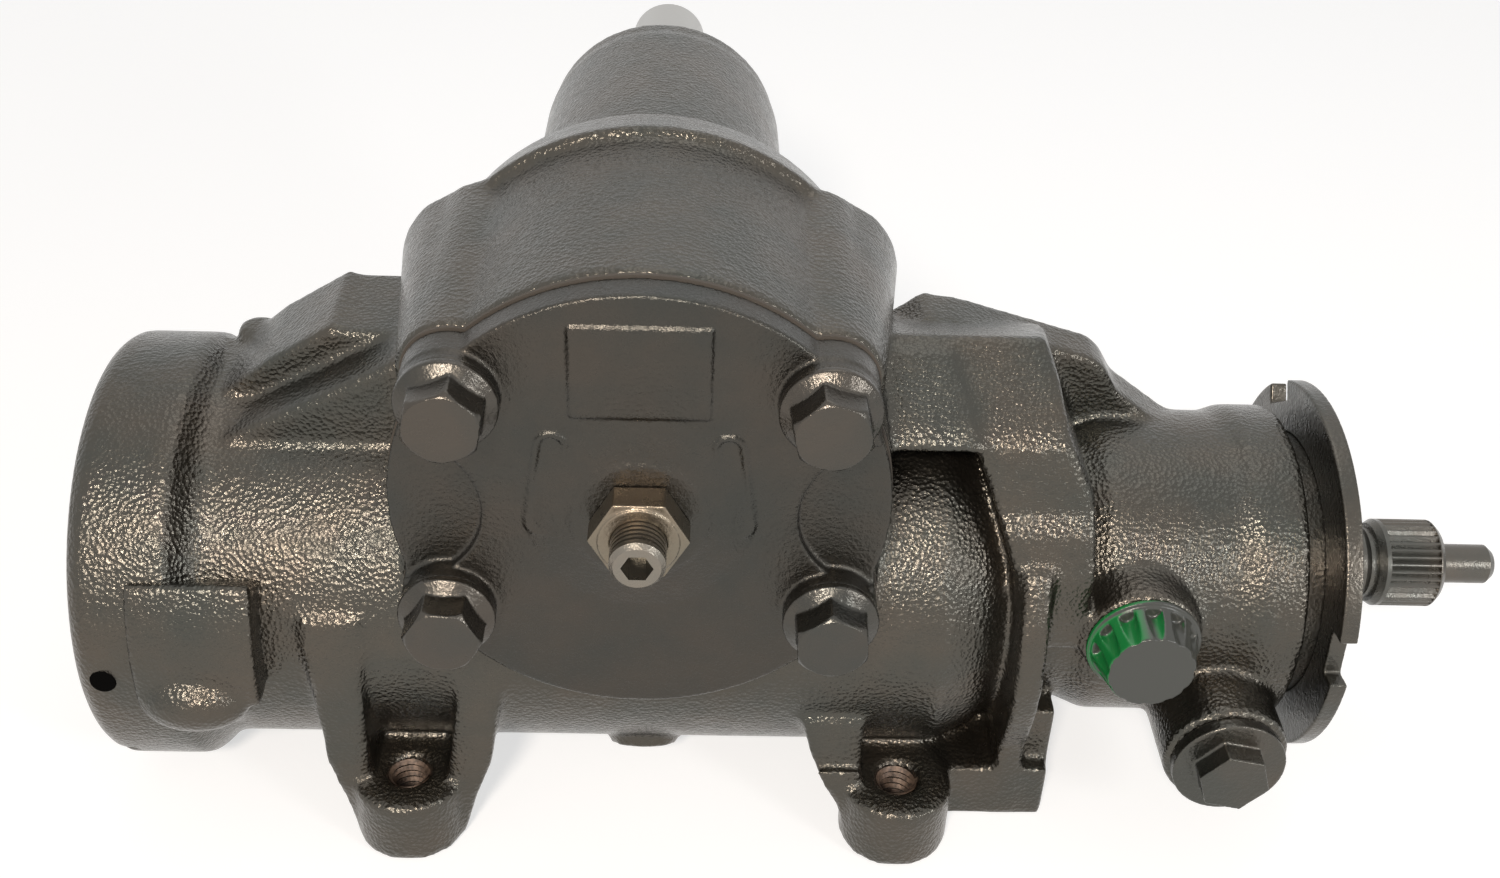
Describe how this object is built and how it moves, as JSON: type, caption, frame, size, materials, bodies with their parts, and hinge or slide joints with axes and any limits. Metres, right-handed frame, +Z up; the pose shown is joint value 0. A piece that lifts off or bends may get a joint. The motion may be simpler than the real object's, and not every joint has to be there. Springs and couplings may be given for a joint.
{
  "type": "power steering gearbox",
  "caption": "Recirculating-ball power steering gear: a cast cylinder with a bolted side cover, splined input stub, long output tube with a serrated shaft, threaded feet and plugged oil ports.",
  "frame": {"origin": "midway between the two front mounting holes, on the plane of the mounting feet", "axes": "+X along the worm towards the input shaft, +Y along the output shaft towards its serrated end, +Z up, away from the mounting plane"},
  "size_m": [0.3255, 0.2674, 0.152],
  "materials": {
    "cast_housing": "satin metallic grey-brown paint over sand-cast iron",
    "cover_casting": "satin metallic grey-brown paint over a smoother casting",
    "gasket_sheet": "matt pressed sheet",
    "bearing_bronze": "plain bronze",
    "painted_bolts": "satin paint over forged heads",
    "bare_steel": "bare steel with a faint yellow plating",
    "shaft_steel": "ground steel",
    "painted_shaft": "steel under a thin coat of paint",
    "bearing_steel": "polished bearing steel",
    "seal_rubber": "matt black",
    "ring_plastic": "matt low-friction plastic",
    "spring_steel": "dark spring steel",
    "rack_iron": "machined iron",
    "painted_fittings": "satin metallic paint over steel",
    "port_brass": "plain brass",
    "green_plastic": "clear green plastic with paint overspray on its face"
  },
  "bodies": {
    "housing": {"housing": "cast_housing", "side_cover": "cover_casting", "side_cover_gasket": "gasket_sheet", "side_cover_bushing": "bearing_bronze", "side_cover_bolts": "painted_bolts", "lash_adjuster_screw": "bare_steel", "lash_adjuster_nut": "bare_steel", "pitman_bearing_shell": "bearing_steel", "pitman_bearing_rollers": "bearing_steel", "pitman_inner_seal": "seal_rubber", "pitman_backup_washer": "spring_steel", "pitman_outer_seal": "seal_rubber", "pitman_retaining_ring": "spring_steel", "worm_thrust_races": "bearing_steel", "worm_thrust_rollers": "bearing_steel", "adjuster_plug": "painted_fittings", "adjuster_plug_o_ring": "seal_rubber", "stub_bearing_shell": "bearing_steel", "upper_thrust_washer": "bearing_steel", "stub_shaft_seal": "seal_rubber", "stub_dust_seal": "seal_rubber", "stub_retaining_ring": "spring_steel", "adjuster_lock_ring": "painted_fittings", "end_plug": "painted_fittings", "end_plug_o_ring": "seal_rubber", "end_plug_retaining_ring": "spring_steel", "port_seats": "port_brass", "pressure_port_plug": "green_plastic", "return_port_plug": "painted_fittings"},
    "output": {"pitman_shaft": "shaft_steel"},
    "rack": {"rack_piston": "rack_iron", "rack_piston_ring": "ring_plastic", "rack_piston_plug": "rack_iron", "ball_guide_halves": "spring_steel", "ball_guide_clamp": "spring_steel", "ball_guide_screws": "spring_steel", "recirculating_balls": "bearing_steel"},
    "worm": {"worm_shaft": "shaft_steel", "valve_body": "shaft_steel", "valve_seal_rings": "ring_plastic"},
    "stub": {"stub_shaft": "painted_shaft", "torsion_bar": "shaft_steel", "torsion_bar_pin": "bearing_steel"}
  },
  "joints": [
    {"name": "output_turn", "type": "hinge", "parent": "housing", "child": "output", "pos_m": [-0.003, 0.045, 0.095], "axis": [0, 1, 0], "range_deg": [-44.2, 44.2]},
    {"name": "rack_slide", "type": "slide", "parent": "housing", "child": "rack", "axis": [1, 0, 0], "range_m": [-0.0202, 0.0202]},
    {"name": "input_turn", "type": "hinge", "parent": "housing", "child": "worm", "pos_m": [-0.003, 0.045, 0.046], "axis": [1, 0, 0], "range_deg": [-704, 704]},
    {"name": "valve_twist", "type": "hinge", "parent": "worm", "child": "stub", "pos_m": [0.12, 0.045, 0.046], "axis": [1, 0, 0], "range_deg": [-4, 4]}
  ],
  "couplings": [
    {"joint": "rack_slide", "follows": "input_turn", "m_per_rad": -0.001625},
    {"joint": "output_turn", "follows": "input_turn", "ratio": 0.0625}
  ]
}
